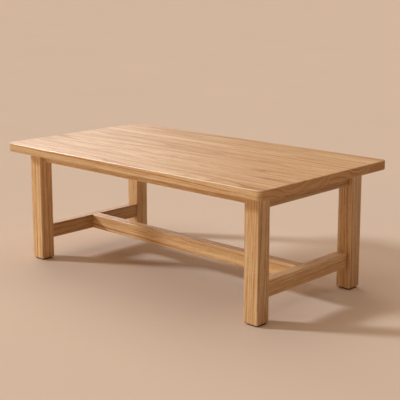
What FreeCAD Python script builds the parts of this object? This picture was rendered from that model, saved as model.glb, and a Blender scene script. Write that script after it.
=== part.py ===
import FreeCAD, Part
import os

from FreeCAD import Vector

# A low dining table in solid oak, for sitting on the floor. Sizes are in millimetres.
# The floor is z = 0, the origin lies under the middle of the top, +X runs along the top, -Y is the front.

# Top
table_height = 400.0
top_length = 1100.0
top_width = 600.0
top_thickness = 28.0
board_count = 6
corner_radius = 20.0  # plan corners
top_edge_round = 2.5  # arrises
tongue_thickness = 8.0
tongue_reach = 8.0
tongue_stop = 45.0  # plain glue line left at each end of a seam

# Legs and pads
leg_size = 50.0
leg_round = 2.5
foot_chamfer = 4.0
end_overhang = 54.0  # top past the legs' outer faces, along X
side_overhang = 54.0  # the same, along Y
pad_thickness = 3.0
pad_inset = 5.0
pad_clip = 3.0  # cut corners

# Aprons
apron_thickness = 20.0
long_apron_height = 35.0
end_apron_height = 45.0
long_apron_setback = 22.0  # behind the legs' outer faces
end_apron_setback = 13.0
apron_round = 1.5  # lower arrises
apron_tenon = 10.0
apron_shoulder = 4.0  # under the tenon
haunch_height = 9.0
haunch_length = 8.0

# Stretchers
stretcher_thickness = 32.0
stretcher_height = 48.0
stretcher_rise = 70.0  # floor to underside
stretcher_setback = 13.0
stretcher_round = 2.0
stretcher_tenon = 12.0
stretcher_shoulder = 7.0  # over and under the tenon
leg_tenon_length = 30.0
cross_tenon_length = 20.0

# Buttons that hold the top down
buttons_per_apron = 2
button_spread = 0.66  # from an apron's first button to its last, as a share of its length between the legs
button_length = 36.0
button_width = 28.0
button_chamfer = 3.0
lip_length = 10.0
lip_thickness = 9.0
slot_drop = 10.0  # underside of the top to the slot's upper wall
wood_movement = 3.0  # room for the top to swell and shrink

# Button screws
screw_length = 36.0
screw_radius = 2.25
screw_head_radius = 4.4
screw_head_height = 2.4

# Clearances
glue_gap = 0.1  # on each side of a tenon or tongue
mortise_relief = 1.0  # past the end of a tenon or tongue
mitre_gap = 0.5  # between two tenons that meet in a leg
lip_ease = 0.5  # under a button's lip
screw_ease = 0.15

up = Vector(0, 0, 1)
along = Vector(1, 0, 0)
origin = Vector(0, 0, 0)
straight = 0.999  # cosine that still counts as parallel
flat = 0.001  # rise of an edge that still counts as level

underside = table_height - top_thickness
leg_x = top_length / 2 - end_overhang
leg_y = top_width / 2 - side_overhang
apron_cheek = (apron_thickness - apron_tenon) / 2
stretcher_cheek = (stretcher_thickness - stretcher_tenon) / 2
button_height = slot_drop + lip_thickness


# One kind of side has an apron that runs along its local X, with its outer face towards local -Y.
# reach runs from the middle of the table to the legs' outer faces, half_span to the legs' inner ones.
long_side = {
    "reach": leg_y,
    "half_span": leg_x - leg_size,
    "height": long_apron_height,
    "setback": long_apron_setback,
    "cross_setback": end_apron_setback,
}
end_side = {
    "reach": leg_x,
    "half_span": leg_y - leg_size,
    "height": end_apron_height,
    "setback": end_apron_setback,
    "cross_setback": long_apron_setback,
}
# Each side of the table: its kind and the turn about Z from the local frame.
sides = {
    "front": (long_side, 0),
    "right": (end_side, 90),
    "back": (long_side, 180),
    "left": (end_side, 270),
}
corners = {
    "front_left": (-1, -1),
    "front_right": (1, -1),
    "back_left": (-1, 1),
    "back_right": (1, 1),
}


def span(length, middle=0.0):
    return middle - length / 2, middle + length / 2


def block(x_span, y_span, z_span):
    spans = [sorted(ends) for ends in (x_span, y_span, z_span)]
    corner = Vector(*[low for low, high in spans])
    return Part.makeBox(*[high - low for low, high in spans], corner)


def prism(points, z_span):
    low, high = z_span
    outline = [Vector(x, y, low) for x, y in points]
    return Part.Face(Part.makePolygon(outline + outline[:1])).extrude(Vector(0, 0, high - low))


def parallel_edges(solid, axis):
    return [e for e in solid.Edges if abs(e.tangentAt(e.FirstParameter).dot(axis)) > straight]


def turned(shape, angle):
    return shape.rotated(origin, up, angle)


# The whole top with its rounded corners and eased arrises, before it is parted into boards.
def top_panel():
    panel = block(span(top_length), span(top_width), (underside, table_height))
    panel = panel.makeFillet(corner_radius, parallel_edges(panel, up))
    arrises = [edge for edge in panel.Edges if edge.BoundBox.ZLength < flat]
    return panel.makeFillet(top_edge_round, arrises)


# A tongue stops short of the ends, so the end grain shows a plain seam.
def seam_tongue(seam, ease=0.0, relief=0.0):
    length = top_length - 2 * tongue_stop + 2 * ease
    y_span = (seam, seam + tongue_reach + relief)
    z_span = span(tongue_thickness + 2 * ease, table_height - top_thickness / 2)
    return block(span(length), y_span, z_span)


def top_board(panel, index, pilot_holes):
    front, back = [edge * top_width / board_count - top_width / 2 for edge in (index, index + 1)]
    blank = block(span(top_length), (front, back), (underside, table_height))
    if index < board_count - 1:
        blank = blank.fuse(seam_tongue(back))
    if index > 0:
        blank = blank.cut(seam_tongue(front, glue_gap, mortise_relief))
    return panel.common(blank).cut(pilot_holes).removeSplitter()


# An apron's tenon lies between these depths behind the legs' outer faces.
def tenon_depths(setback):
    return setback + apron_cheek, setback + apron_cheek + apron_tenon


def tenon_heights(height):
    return underside - height + apron_shoulder, underside - haunch_height


# Two tenons meet inside each leg, so each ends in a mitre. A haunch above it fills the leg's open groove.
def apron_tenon_pair(side):
    near, far = tenon_depths(side["setback"])
    cross_near, cross_far = tenon_depths(side["cross_setback"])
    half_span, reach = side["half_span"], side["reach"]
    leg_face = half_span + leg_size
    tenons = []
    for end in (-1, 1):
        mitred = [
            (end * half_span, near - reach),
            (end * (leg_face - cross_near - mitre_gap), near - reach),
            (end * (leg_face - cross_far - mitre_gap), far - reach),
            (end * half_span, far - reach),
        ]
        tenons.append(prism(mitred, tenon_heights(side["height"])))
        haunch_x = (end * half_span, end * (half_span + haunch_length))
        haunch_z = (underside - haunch_height, underside)
        tenons.append(block(haunch_x, (near - reach, far - reach), haunch_z))
    return tenons


def button_places(side):
    last = buttons_per_apron - 1
    pitch = button_spread * 2 * side["half_span"] / last
    return [(number - last / 2) * pitch for number in range(buttons_per_apron)]


# Local y of an apron's inner face.
def inner_face(side):
    return side["setback"] + apron_thickness - side["reach"]


def apron(side):
    face = inner_face(side)
    bottom = underside - side["height"]
    bar = block(span(2 * side["half_span"]), (face - apron_thickness, face), (bottom, underside))
    low_edges = [edge for edge in parallel_edges(bar, along) if edge.BoundBox.ZMax < bottom + flat]
    bar = bar.makeFillet(apron_round, low_edges).fuse(apron_tenon_pair(side))
    slot_z = (underside - slot_drop, underside - button_height - lip_ease)
    for place in button_places(side):
        slot_x = span(button_width + 2 * wood_movement, place)
        bar = bar.cut(block(slot_x, (face, face - lip_length), slot_z))
    return bar.removeSplitter()


# The screw's axis in a button, in the side's local frame.
def screw_axis(side, place):
    return place, inner_face(side) + wood_movement + button_length / 2


# A screw stands head down under its button. With ease it is the hole that it needs.
def screw(side, place, ease=0.0):
    x, y = screw_axis(side, place)
    seat = underside - button_height
    head_foot = Vector(x, y, seat - screw_head_height)
    head = Part.makeCylinder(screw_head_radius, screw_head_height, head_foot, up)
    core = Part.makeCylinder(screw_radius + ease, screw_length + ease, Vector(x, y, seat), up)
    return head.fuse(core)


# The lip lies in the apron's slot, and the block is screwed up against the top.
def button(side, place):
    shoulder = inner_face(side) + wood_movement
    low = underside - button_height
    body = block(span(button_width, place), (shoulder, shoulder + button_length), (low, underside))
    free_edge = [
        edge
        for edge in parallel_edges(body, along)
        if edge.BoundBox.ZMax < low + flat and edge.BoundBox.YMin > shoulder + flat
    ]
    body = body.makeChamfer(button_chamfer, free_edge)
    lip_y = (shoulder - lip_length, shoulder)
    lip = block(span(button_width, place), lip_y, (low, low + lip_thickness))
    return body.fuse(lip).cut(screw(side, place, screw_ease)).removeSplitter()


# A block given by its distances inwards from a leg's two outer faces.
def leg_block(corner, u_span, v_span, z_span):
    x_sign, y_sign = corner
    x_span = [x_sign * (leg_x - u) for u in u_span]
    y_span = [y_sign * (leg_y - v) for v in v_span]
    return block(x_span, y_span, z_span)


def widened(ends):
    low, high = ends
    return low - glue_gap, high + glue_gap


# The mortise and haunch groove of one apron, as spans across and into the leg.
def apron_mortise(side):
    across = widened(tenon_depths(side["setback"]))
    cross_near = tenon_depths(side["cross_setback"])[0]
    deep = (cross_near - mortise_relief, leg_size)
    shallow = (leg_size - haunch_length - mortise_relief, leg_size)
    heights = widened(tenon_heights(side["height"]))
    return across, [(deep, heights), (shallow, (heights[1], underside))]


def stretcher_heights(shoulder=0.0):
    return stretcher_rise + shoulder, stretcher_rise + stretcher_height - shoulder


def stretcher_tenon_depths():
    return stretcher_setback + stretcher_cheek, stretcher_setback + stretcher_cheek + stretcher_tenon


def leg(corner):
    whole = (0, leg_size)
    post = leg_block(corner, whole, whole, (pad_thickness, underside))
    foot_edges = [edge for edge in post.Edges if edge.BoundBox.ZMax < pad_thickness + flat]
    post = post.makeChamfer(foot_chamfer, foot_edges)
    post = post.makeFillet(leg_round, parallel_edges(post, up))

    across, cuts = apron_mortise(long_side)
    for into, heights in cuts:
        post = post.cut(leg_block(corner, into, across, heights))
    across, cuts = apron_mortise(end_side)
    for into, heights in cuts:
        post = post.cut(leg_block(corner, across, into, heights))
    into = (leg_size - leg_tenon_length - mortise_relief, leg_size)
    across = widened(stretcher_tenon_depths())
    post = post.cut(leg_block(corner, across, into, widened(stretcher_heights(stretcher_shoulder))))
    return post.removeSplitter()


def foot_pad(corner):
    inner = (pad_inset, leg_size - pad_inset)
    pad = leg_block(corner, inner, inner, (0, pad_thickness))
    return pad.makeChamfer(pad_clip, parallel_edges(pad, up))


def eased_bar(x_span, y_span, z_span):
    bar = block(x_span, y_span, z_span)
    return bar.makeFillet(stretcher_round, parallel_edges(bar, along))


# An end stretcher in its side's local frame, with a mortise in its inner face for the long stretcher.
def end_stretcher(side):
    reach, half_span = side["reach"], side["half_span"]
    inner = stretcher_setback + stretcher_thickness - reach
    bar = eased_bar(span(2 * half_span), (inner - stretcher_thickness, inner), stretcher_heights())
    tenon_y = [depth - reach for depth in stretcher_tenon_depths()]
    tenon_x = span(2 * (half_span + leg_tenon_length))
    bar = bar.fuse(block(tenon_x, tenon_y, stretcher_heights(stretcher_shoulder)))
    mortise_x = widened(span(stretcher_tenon))
    mortise_y = (inner - cross_tenon_length - mortise_relief, inner)
    bar = bar.cut(block(mortise_x, mortise_y, widened(stretcher_heights(stretcher_shoulder))))
    return bar.removeSplitter()


def long_stretcher():
    length = 2 * (leg_x - stretcher_setback - stretcher_thickness)
    bar = eased_bar(span(length), span(stretcher_thickness), stretcher_heights())
    tenon_x = span(length + 2 * cross_tenon_length)
    tenon = block(tenon_x, span(stretcher_tenon), stretcher_heights(stretcher_shoulder))
    return bar.fuse(tenon).removeSplitter()


def build():
    nodes = {}
    screws = []
    pilots = []
    for name, (side, angle) in sides.items():
        nodes["apron_" + name] = turned(apron(side), angle)
        for number, place in enumerate(button_places(side), 1):
            nodes[f"button_{name}_{number}"] = turned(button(side, place), angle)
            screws.append(turned(screw(side, place), angle))
            pilots.append(turned(screw(side, place, screw_ease), angle))
    nodes["button_screws"] = Part.makeCompound(screws)

    panel = top_panel()
    for index in range(board_count):
        nodes[f"top_board_{index + 1}"] = top_board(panel, index, pilots)

    for name, corner in corners.items():
        nodes["leg_" + name] = leg(corner)
        nodes["foot_pad_" + name] = foot_pad(corner)

    for name in ("left", "right"):
        side, angle = sides[name]
        nodes["stretcher_" + name] = turned(end_stretcher(side), angle)
    nodes["stretcher_long"] = long_stretcher()
    return nodes


os.makedirs("parts", exist_ok=True)
for node, shape in build().items():
    shape.exportStep(f"parts/{node}.step")
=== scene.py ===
import math
import random

import bpy
from mathutils import Euler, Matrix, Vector


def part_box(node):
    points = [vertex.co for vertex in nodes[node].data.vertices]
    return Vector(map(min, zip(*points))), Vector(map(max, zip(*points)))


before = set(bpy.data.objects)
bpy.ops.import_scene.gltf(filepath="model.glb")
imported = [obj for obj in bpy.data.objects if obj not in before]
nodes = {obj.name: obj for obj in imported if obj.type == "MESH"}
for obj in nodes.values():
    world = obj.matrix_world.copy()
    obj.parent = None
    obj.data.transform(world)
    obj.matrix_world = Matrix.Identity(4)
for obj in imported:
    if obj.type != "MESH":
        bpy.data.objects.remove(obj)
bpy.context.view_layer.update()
print("frame loaded:", len(nodes), "nodes")

mmInMetre = 1000
noiseMiddle = 0.5  # the level that noise swings about


def toLinear(hexColour):  # along the sRGB curve
    parts = [int(hexColour[start:start + 2], 16) / 255 for start in (1, 3, 5)]
    return [c / 12.92 if c <= 0.04045 else ((c + 0.055) / 1.055) ** 2.4 for c in parts] + [1.0]


def perMetre(mm):  # how often a pattern of that size repeats in a metre
    return mmInMetre / mm


# adds one node: a socket takes a value, another node's output, or a node for the first output in use
def addNode(tree, kind, sockets=None, **settings):
    node = tree.nodes.new("ShaderNode" + kind)
    for name, value in settings.items():
        setattr(node, name, value)
    for name, value in (sockets or {}).items():
        if isinstance(value, bpy.types.Node):
            value = next(output for output in value.outputs if output.enabled)
        if isinstance(value, bpy.types.NodeSocket):
            tree.links.new(value, node.inputs[name])
        else:
            node.inputs[name].default_value = value
    return node


def newMaterial(name):
    material = bpy.data.materials.new(name)
    material.use_nodes = True
    material.node_tree.nodes.clear()
    return material


def dress(node, material):
    node.data.materials.clear()
    node.data.materials.append(material)


# White oak, planed, sanded and oiled. Pale honey summer wood between thin darker bands of open spring
# pores, long soft streaks along the board, and a satin gleam that the porous bands break up.
oak = {
    "summerWood": "#DFC092",
    "springWood": "#AC7132",
    "poreShade": "#6B492A",
    "rayFleck": "#D7BB93",
    "endTint": "#F7E7D2",
    # the arris colour: rubbed wear and a painted highlight along the upper arrises
    "rubbedAndHighlitWood": "#F1E2CB",
    "darkRichness": 0.5,  # how much richer a stick's colour gets as it gets darker
    "ringMm": 2.8,  # one year's growth
    "springShare": ((0.12, 1.0), (0.34, 0.5), (0.65, 0.12)),  # parts of a year and their spring wood
    "ringFray": 0.5,  # years by which the fibres fray the rings
    "decadesPerYear": 0.12,  # how soon slow growth gives way to quick
    "decadeDrift": 6,  # years by which that crowds or spreads the rings
    "tonesPerYear": 0.37,  # how soon pale years give way to dark ones
    "swayReachMm": 17,  # how far the grain wanders sideways
    "fleckRadiusMm": 80,  # how far out from the heart flecks have the width given
    "springBetween": 0.24,  # spring colour left between the rings
    "faintYears": 0.2,  # how much the faintest rings lose
    "yearSwing": 0.95,  # how far the years, the streaks and the fibres each shift the colour
    "streakSwing": 1.4,
    "fibreSwing": 1.2,
    "middleTone": 0.4,  # the colour that bold rings swing about
    "endEvening": 0.2,  # how far oil evens out the rings on cut ends
    "poreEdges": (0.61, 0.68),  # noise levels at which a pore starts and is fully open
    "summerPores": 0.15,  # the share of pores left outside the spring wood
    "poreStain": 0.6,
    "fleckEdges": (0.64, 0.72),
    "fleckStain": 0.4,
    "denseRoughness": 0.38,
    "porousRoughness": 0.44,
    "poreDulling": 0.15,
    "endDulling": 0.12,
    "rubbedRoughness": 0.25,
    "polishRoughness": 0.16,
    "oilIor": 1.48,
    "poreDepthMm": 0.12,
    "springDepth": 0.18,  # how far spring wood sinks and fibres stand up, beside a pore's depth
    "fibreHeight": 0.3,
    "endFacing": (0.55, 0.85),  # how squarely a face cuts the grain where it starts and is fully an end
    "arrisSlope": 0.4,  # a face at 45 degrees has 0.5, and this much counts as all arris
}
# its patterns: mm along the grain and both ways across it, how many finer layers and how strong these are
patterns = {
    "sway": {"mm": (620, 105, 105), "layers": 2, "fineness": 0.5},  # one bend of the grain
    "fibre": {"mm": (60, 2.4, 2.4), "layers": 3, "fineness": 0.5},  # far finer in life, this coarse to show
    "streak": {"mm": (540, 8, 90), "layers": 4, "fineness": 0.6},  # across the rings, then round them
    "pore": {"mm": (8, 0.6, 0.6), "layers": 0, "fineness": 0.5},  # about twice the real width, to show
    "fleck": {"mm": (11, 16, 0.8), "layers": 1, "fineness": 0.5},  # out along the rays, then round the rings
    "decade": {"layers": 2},
    "tone": {"layers": 3},
}


# the figure of the wood from a point's place about the heart of the tree, with the grain along local X
def oakFigure():
    tree = bpy.data.node_groups.new("oak figure", "ShaderNodeTree")
    for name, kind in (("Grain", "Vector"), ("End", "Float"), ("Bold", "Float"), ("Close", "Float")):
        tree.interface.new_socket(name, in_out="INPUT", socket_type="NodeSocket" + kind)
    for name, kind in (("Colour", "Color"), ("Roughness", "Float"), ("Height", "Float")):
        tree.interface.new_socket(name, in_out="OUTPUT", socket_type="NodeSocket" + kind)
    given = tree.nodes.new("NodeGroupInput")
    grain, end, bold, close = [given.outputs[name] for name in ("Grain", "End", "Bold", "Close")]

    def lay(name, place):  # lays a pattern at its real size
        pattern = patterns[name]
        often = [perMetre(size) for size in pattern["mm"]]
        place = addNode(tree, "VectorMath", {0: place, 1: often}, operation="MULTIPLY")
        look = {"Vector": place, "Scale": 1, "Detail": pattern["layers"], "Roughness": pattern["fineness"]}
        return addNode(tree, "TexNoise", look)

    def layByYear(name, years, pace):  # lays a pattern that changes from ring to ring only
        years = addNode(tree, "Math", {0: years, 1: pace}, operation="MULTIPLY")
        look = {"W": years, "Scale": 1, "Detail": patterns[name]["layers"]}
        return addNode(tree, "TexNoise", look, noise_dimensions="1D")

    def shift(base, pattern, strength):  # shifts a base by a pattern's swing
        swing = addNode(tree, "Math", {0: pattern, 1: noiseMiddle}, operation="SUBTRACT")
        return addNode(tree, "Math", {0: swing, 1: strength, 2: base}, operation="MULTIPLY_ADD")

    # the grain bends slowly along the board, and everything below follows it
    reach = oak["swayReachMm"] / mmInMetre
    bend = {0: lay("sway", grain).outputs["Color"], 1: (0, reach, reach), 2: grain}
    bent = addNode(tree, "VectorMath", bend, operation="MULTIPLY_ADD")
    parts = addNode(tree, "SeparateXYZ", {0: bent}).outputs
    across = addNode(tree, "VectorMath", {0: bent, 1: (0, 1, 1)}, operation="MULTIPLY")
    radius = addNode(tree, "VectorMath", {0: across}, operation="LENGTH")
    radius = addNode(tree, "Math", {0: radius, 1: close}, operation="MULTIPLY")
    angle = addNode(tree, "Math", {0: parts["Z"], 1: parts["Y"]}, operation="ARCTAN2")
    arc = addNode(tree, "Math", {0: angle, 1: oak["fleckRadiusMm"] / mmInMetre}, operation="MULTIPLY")
    aboutHeart = addNode(tree, "CombineXYZ", {"X": parts["X"], "Y": radius, "Z": arc})
    fibre = lay("fibre", bent)
    streak = lay("streak", aboutHeart)

    # growth rings: a sharp start of spring wood that fades into summer wood
    years = addNode(tree, "Math", {0: radius, 1: perMetre(oak["ringMm"])}, operation="MULTIPLY")
    years = shift(years, fibre, oak["ringFray"])
    years = shift(years, layByYear("decade", years, oak["decadesPerYear"]), oak["decadeDrift"])
    partOfYear = addNode(tree, "Math", {0: years}, operation="FRACT")
    spring = addNode(tree, "ValToRGB", {"Fac": partOfYear})
    ramp = spring.color_ramp.elements
    ramp[-1].color = (0, 0, 0, 1)  # the year ends as it starts, with no spring wood
    for place, share in oak["springShare"]:
        ramp.new(place).color = (share, share, share, 1)
    tone = layByYear("tone", years, oak["tonesPerYear"])

    # how much spring wood shows: rings of uneven strength, long streaks and fine fibres
    ringTone = addNode(tree, "Math", {0: tone, 1: oak["faintYears"]}, operation="SUBTRACT")
    ringShow = {0: spring, 1: ringTone, 2: oak["springBetween"]}
    show = addNode(tree, "Math", ringShow, operation="MULTIPLY_ADD")
    for pattern, strength in ((tone, "yearSwing"), (streak, "streakSwing"), (fibre, "fibreSwing")):
        show = shift(show, pattern, oak[strength])
    even = addNode(tree, "Math", {0: end, 1: -oak["endEvening"], 2: 1.0}, operation="MULTIPLY_ADD")
    bold = addNode(tree, "Math", {0: bold, 1: even}, operation="MULTIPLY")
    swing = addNode(tree, "Math", {0: show, 1: oak["middleTone"]}, operation="SUBTRACT")
    show = addNode(tree, "Math", {0: swing, 1: bold, 2: oak["middleTone"]}, operation="MULTIPLY_ADD")

    # open pores, short dark dashes that crowd in the spring wood
    start, full = oak["poreEdges"]
    dashes = addNode(tree, "MapRange", {"Value": lay("pore", bent), "From Min": start, "From Max": full})
    crowd = {0: spring, 1: 1 - oak["summerPores"], 2: oak["summerPores"]}
    crowd = addNode(tree, "Math", crowd, operation="MULTIPLY_ADD")
    pores = addNode(tree, "Math", {0: dashes, 1: crowd}, operation="MULTIPLY")
    poreStain = addNode(tree, "Math", {0: pores, 1: oak["poreStain"]}, operation="MULTIPLY")

    # rays run out from the heart: flecks on quartered faces, thin dashes on the others
    start, full = oak["fleckEdges"]
    rays = addNode(tree, "MapRange", {"Value": lay("fleck", aboutHeart), "From Min": start, "From Max": full,
                                      "To Max": oak["fleckStain"]})

    # each stain goes over the ones before it, and cut ends, which drink more oil, are darker and duller
    stains = (
        (show, "springWood", "MIX"),
        (poreStain, "poreShade", "MIX"),
        (rays, "rayFleck", "MIX"),
        (end, "endTint", "MULTIPLY"),
    )
    wood = toLinear(oak["summerWood"])
    for amount, colour, blend in stains:
        stain = {"Factor": amount, "A": wood, "B": toLinear(oak[colour])}
        wood = addNode(tree, "Mix", stain, data_type="RGBA", blend_type=blend)
    rough = addNode(tree, "MapRange", {"Value": show, "To Min": oak["denseRoughness"],
                                       "To Max": oak["porousRoughness"]})
    rough = addNode(tree, "Math", {0: pores, 1: oak["poreDulling"], 2: rough}, operation="MULTIPLY_ADD")
    rough = addNode(tree, "Math", {0: end, 1: oak["endDulling"], 2: rough}, operation="MULTIPLY_ADD")

    # fibres stand up a little, spring wood sinks and pores are the deepest
    height = addNode(tree, "Math", {0: fibre, 1: oak["fibreHeight"]}, operation="MULTIPLY")
    height = addNode(tree, "Math", {0: spring, 1: -oak["springDepth"], 2: height}, operation="MULTIPLY_ADD")
    height = addNode(tree, "Math", {0: pores, 1: -1.0, 2: height}, operation="MULTIPLY_ADD")

    result = tree.nodes.new("NodeGroupOutput")
    for socket, source in (("Colour", wood.outputs["Result"]), ("Roughness", rough.outputs[0]),
                           ("Height", height.outputs[0])):
        tree.links.new(source, result.inputs[socket])
    return tree


figure = oakFigure()
print("oak figure:", len(figure.nodes), "nodes")

# turns that lay each grain direction along local X
grainTurn = {
    "X": Euler((0, 0, 0)),
    "Y": Euler((0, 0, -math.pi / 2)),
    "Z": Euler((0, math.pi / 2, 0)),
}


# one stick of oak: middle is the stick's own, heart how far it was sawn from the middle of the tree
def oiledOak(name, axis, middle, heart, lean, shade, cut):
    material = newMaterial("oiled_oak_" + name)
    tree = material.node_tree
    turn = Euler(lean).to_matrix() @ grainTurn[axis].to_matrix()
    source = addNode(tree, "TexCoord").outputs
    place = addNode(tree, "Mapping", {"Vector": source["Object"], "Location": heart - turn @ middle,
                                      "Rotation": turn.to_euler()})
    along = [1.0 if axis == letter else 0.0 for letter in "XYZ"]
    facing = addNode(tree, "VectorMath", {0: source["Normal"], 1: along}, operation="DOT_PRODUCT")
    facing = addNode(tree, "Math", {0: facing}, operation="ABSOLUTE")
    start, full = oak["endFacing"]
    end = addNode(tree, "MapRange", {"Value": facing, "From Min": start, "From Max": full})
    sawn = {"Grain": place, "End": end, "Bold": cut["bold"], "Close": cut["close"]}
    wood = addNode(tree, "Group", sawn, node_tree=figure).outputs
    # the stick's paleness scales its colour: partly the wood's own tone, partly painted light and shade
    richness = 1 + oak["darkRichness"] * max(0, 1 - shade)
    tone = addNode(tree, "HueSaturation", {"Color": wood["Colour"], "Value": shade, "Saturation": richness})

    # the eased arrises along the grain are rubbed smoother than the faces and drawn paler, partly as wear
    # and partly as a painted highlight: the upper ones of a lying stick, and all those of a standing one
    parts = addNode(tree, "SeparateXYZ", {0: source["Normal"]}).outputs
    flank, upper = [parts[letter] for letter in "XYZ" if letter != axis]
    slope = addNode(tree, "Math", {0: flank}, operation="ABSOLUTE")
    slope = addNode(tree, "Math", {0: slope, 1: upper}, operation="MULTIPLY")
    if axis == "Z":
        slope = addNode(tree, "Math", {0: slope}, operation="ABSOLUTE")
    rubbedAndHighlit = addNode(tree, "MapRange", {"Value": slope, "From Max": oak["arrisSlope"],
                                        "To Max": cut["wornAndHighlit"]})
    # painted highlight: the arris mask mixes the paler colour in, as well as smoothing the wood
    paler = {"Factor": rubbedAndHighlit, "A": tone, "B": toLinear(oak["rubbedAndHighlitWood"])}
    smoother = {"Factor": rubbedAndHighlit, "A": wood["Roughness"], "B": oak["rubbedRoughness"]}
    relief = addNode(tree, "Bump", {"Height": wood["Height"], "Strength": 1.0,
                                    "Distance": oak["poreDepthMm"] / mmInMetre})
    shader = addNode(tree, "BsdfPrincipled", {
        "Base Color": addNode(tree, "Mix", paler, data_type="RGBA"),
        "Roughness": addNode(tree, "Mix", smoother),
        "Normal": relief,
        "IOR": oak["oilIor"],
        "Coat Weight": rubbedAndHighlit,  # polish builds up on the rubbed arrises and glints
        "Coat Roughness": oak["polishRoughness"],
    })
    addNode(tree, "OutputMaterial", {"Surface": shader})
    return material


# how the sticks were sawn: how far from the heart across the grain, in mm, how far the grain runs out,
# how bold the rings are, how much closer than the oak's plain rings they lie and how far the arrises
# are rubbed and painted paler as a highlight
cuts = {
    "board": {"aside": (-35, 35), "above": (80, 140), "leanDegrees": 1.1,
              "bold": 1.05, "close": 1.3, "wornAndHighlit": 0.55},
    "post": {"aside": (55, 90), "above": (50, 95), "leanDegrees": 1.2,
             "bold": 1.3, "close": 1.9, "wornAndHighlit": 0.35},
    "rail": {"aside": (45, 85), "above": (32, 65), "leanDegrees": 1.6,
             "bold": 1.3, "close": 1.9, "wornAndHighlit": 0.35},
}
# the cut of each piece, or of all whose names start so, the way its grain runs and how pale its stick is,
# partly its own tone and partly painted light and shade
sticks = {
    # painted light: the boards go darker towards the back, as the gleam on the top fades
    "top_board_1": ("board", "X", 1.045),
    "top_board_2": ("board", "X", 1.03),
    "top_board_3": ("board", "X", 1.01),
    "top_board_4": ("board", "X", 0.99),
    "top_board_5": ("board", "X", 0.955),
    "top_board_6": ("board", "X", 0.92),
    # painted light and shade: the front left leg and the front apron paler as if more lit, the right apron
    # darker as if deeper in shade, and the other sticks set partly to how they are lit
    "leg_front_left": ("post", "Z", 1.16),
    "leg_front_right": ("post", "Z", 1.1),
    "leg_back": ("post", "Z", 1.08),
    "apron_front": ("rail", "X", 1.14),
    "apron_back": ("rail", "X", 1.0),
    "apron_left": ("rail", "Y", 0.95),
    "apron_right": ("rail", "Y", 0.82),
    "stretcher_long": ("rail", "X", 1.17),
    "stretcher_left": ("rail", "Y", 0.93),
    "stretcher_right": ("rail", "Y", 1.21),
    "button_front": ("rail", "Y", 1.0),
    "button_back": ("rail", "Y", 1.0),
    "button_left": ("rail", "X", 1.0),
    "button_right": ("rail", "X", 1.0),
}
# how far along the trunk sticks come from, either way, in metres, and how far their shades stray
timber = {"seed": 10, "trunkReach": 2.5, "shadeSpread": 0.02}
draw = random.Random(timber["seed"])


def sawStick(name, cut, axis, shade):
    low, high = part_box(name)
    trunk = draw.uniform(-timber["trunkReach"], timber["trunkReach"])
    aside = draw.uniform(*cut["aside"]) / mmInMetre
    above = draw.choice((-1, 1)) * draw.uniform(*cut["above"]) / mmInMetre
    most = math.radians(cut["leanDegrees"])
    lean = (0, draw.uniform(-most, most), draw.uniform(-most, most))
    shade *= draw.uniform(1 - timber["shadeSpread"], 1 + timber["shadeSpread"])
    heart = Vector((trunk, aside, above))
    dress(nodes[name], oiledOak(name, axis, (low + high) / 2, heart, lean, shade, cut))


for name in sorted(nodes):
    for start, (cut, axis, shade) in sticks.items():
        if name.startswith(start):
            sawStick(name, cuts[cut], axis, shade)
print("oak sawn for", sum(name.startswith(tuple(sticks)) for name in nodes), "pieces")


# Pressed wool felt, black: matt, with a faint nap of paler hairs.
felt = {
    "ground": "#1B1816",
    "hair": "#3A3430",
    "hairMm": (3.0, 0.6, 0.6),  # long and thin, though not as thin as wool, so that the nap shows
    "layers": 3,
    "tangle": 0.8,
    "napMm": 0.4,
    "napStrength": 0.8,
    "roughness": 0.95,
    "sheen": 0.25,
}


def pressedFelt():
    material = newMaterial("black_pressed_felt")
    tree = material.node_tree
    source = addNode(tree, "TexCoord").outputs
    often = [perMetre(size) for size in felt["hairMm"]]
    place = addNode(tree, "Mapping", {"Vector": source["Object"], "Scale": often})
    nap = addNode(tree, "TexNoise", {"Vector": place, "Scale": 1, "Detail": felt["layers"],
                                     "Distortion": felt["tangle"]})
    hairs = {"Factor": nap, "A": toLinear(felt["ground"]), "B": toLinear(felt["hair"])}
    relief = addNode(tree, "Bump", {"Height": nap, "Strength": felt["napStrength"],
                                    "Distance": felt["napMm"] / mmInMetre})
    shader = addNode(tree, "BsdfPrincipled", {
        "Base Color": addNode(tree, "Mix", hairs, data_type="RGBA"),
        "Roughness": felt["roughness"],
        "Normal": relief,
        "Sheen Weight": felt["sheen"],
    })
    addNode(tree, "OutputMaterial", {"Surface": shader})
    return material


# Zinc plated steel, passivated: a dull silver with cloudy straw patches.
zinc = {"silver": "#C9C6BE", "straw": "#B7A98A", "cloudMm": 4.0, "layers": 4, "roughness": (0.28, 0.46)}


def platedZinc():
    material = newMaterial("zinc_plated_steel")
    tree = material.node_tree
    source = addNode(tree, "TexCoord").outputs
    cloud = addNode(tree, "TexNoise", {"Vector": source["Object"], "Scale": perMetre(zinc["cloudMm"]),
                                       "Detail": zinc["layers"]})
    patches = {"Factor": cloud, "A": toLinear(zinc["silver"]), "B": toLinear(zinc["straw"])}
    smooth, dull = zinc["roughness"]
    shader = addNode(tree, "BsdfPrincipled", {
        "Base Color": addNode(tree, "Mix", patches, data_type="RGBA"),
        "Metallic": 1.0,
        "Roughness": addNode(tree, "MapRange", {"Value": cloud, "To Min": smooth, "To Max": dull}),
    })
    addNode(tree, "OutputMaterial", {"Surface": shader})
    return material


blackFelt = pressedFelt()
for name in nodes:
    if name.startswith("foot_pad"):
        dress(nodes[name], blackFelt)
dress(nodes["button_screws"], platedZinc())
print("pads and screws dressed")


# Pale floor, matt distemper on a smooth screed: chalky and almost even, with no gleam at all.
floor = {"colour": "#E4D6C8", "cloud": "#E0D2C4", "cloudMm": 900, "layers": 3, "halfMetres": 40.0}


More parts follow.
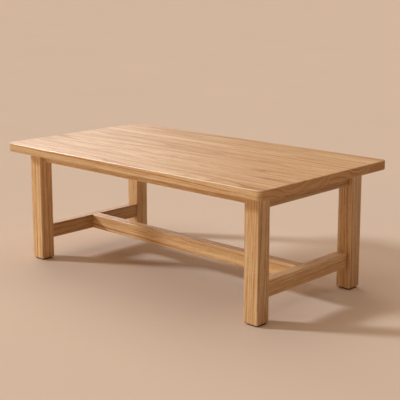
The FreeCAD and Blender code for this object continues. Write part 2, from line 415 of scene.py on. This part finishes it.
def paleFloor():
    half = floor["halfMetres"]
    corners = [(-half, -half, 0), (half, -half, 0), (half, half, 0), (-half, half, 0)]
    mesh = bpy.data.meshes.new("floor")
    mesh.from_pydata(corners, [], [(0, 1, 2, 3)])
    ground = bpy.data.objects.new("floor", mesh)
    bpy.context.scene.collection.objects.link(ground)
    material = newMaterial("matt_distemper")
    tree = material.node_tree
    source = addNode(tree, "TexCoord").outputs
    cloud = addNode(tree, "TexNoise", {"Vector": source["Object"], "Scale": perMetre(floor["cloudMm"]),
                                       "Detail": floor["layers"]})
    clouds = {"Factor": cloud, "A": toLinear(floor["colour"]), "B": toLinear(floor["cloud"])}
    shader = addNode(tree, "BsdfPrincipled", {
        "Base Color": addNode(tree, "Mix", clouds, data_type="RGBA"),
        "Roughness": 1.0,
        "Specular IOR Level": 0.0,
    })
    addNode(tree, "OutputMaterial", {"Surface": shader})
    dress(ground, material)


paleFloor()

# Soft studio light, all from far off so that the floor is even: a low key from the left, a fill from the
# front, a broad panel overhead, one beyond the left end for the sheen on the top, and a warm room.
lamps = {
    "key": {"from": (-0.76, -0.49, 0.43), "spreadDegrees": 8, "strength": 1.87, "colour": "#FFFCFC"},
    "fill": {"from": (-0.30, -0.95, 0.07), "spreadDegrees": 50, "strength": 0.84, "colour": "#FFE2BA"},
    "overhead": {"from": (-0.10, 0.10, 1.0), "spreadDegrees": 80, "strength": 1.33, "colour": "#FFE3CB"},
    "sheen": {"from": (-0.85, 0.37, 0.31), "spreadDegrees": 44, "strength": 0.78, "colour": "#FFFCFA"},
}
room = {"light": "#FFBE80", "strength": 0.07, "seen": "#D3B69E"}


def hangLamp(name, lamp):
    data = bpy.data.lights.new(name, "SUN")
    data.energy = lamp["strength"]
    data.angle = math.radians(lamp["spreadDegrees"])
    data.color = toLinear(lamp["colour"])[:3]
    hung = bpy.data.objects.new(name, data)
    hung.rotation_euler = Vector(lamp["from"]).to_track_quat("Z", "Y").to_euler()
    bpy.context.scene.collection.objects.link(hung)


# the room's light falls on everything, and its pale walls show to the eye, in gloss and through glass
def lightRoom():
    world = bpy.data.worlds.new("room")
    bpy.context.scene.world = world
    world.use_nodes = True
    tree = world.node_tree
    tree.nodes.clear()
    light = addNode(tree, "Background", {"Color": toLinear(room["light"]), "Strength": room["strength"]})
    seen = addNode(tree, "Background", {"Color": toLinear(room["seen"])})
    path = addNode(tree, "LightPath").outputs
    rays = path["Is Camera Ray"]
    for kind in ("Is Glossy Ray", "Is Transmission Ray"):
        rays = addNode(tree, "Math", {0: rays, 1: path[kind]}, operation="MAXIMUM")
    either = addNode(tree, "MixShader", {0: rays, 1: light, 2: seen})
    addNode(tree, "OutputWorld", {"Surface": either})


for name, lamp in lamps.items():
    hangLamp(name, lamp)
lightRoom()
bpy.context.scene.view_settings.view_transform = "Standard"
print("floor and lamps set")

# the photograph's viewing angle, in metres and degrees, with the turn to the left and the tilt downwards
camera = {"place": (2.084, -2.178, 0.943), "turn": 43.0, "tilt": 10.76,
          "lensMm": 86.5, "sensorMm": 36, "shiftY": -0.1}


def setCamera():
    data = bpy.data.cameras.new("camera")
    data.lens = camera["lensMm"]
    data.sensor_width = camera["sensorMm"]
    data.shift_y = camera["shiftY"]
    held = bpy.data.objects.new("camera", data)
    held.location = camera["place"]
    held.rotation_euler = (math.radians(90 - camera["tilt"]), 0, math.radians(camera["turn"]))
    bpy.context.scene.collection.objects.link(held)
    bpy.context.scene.camera = held


setCamera()
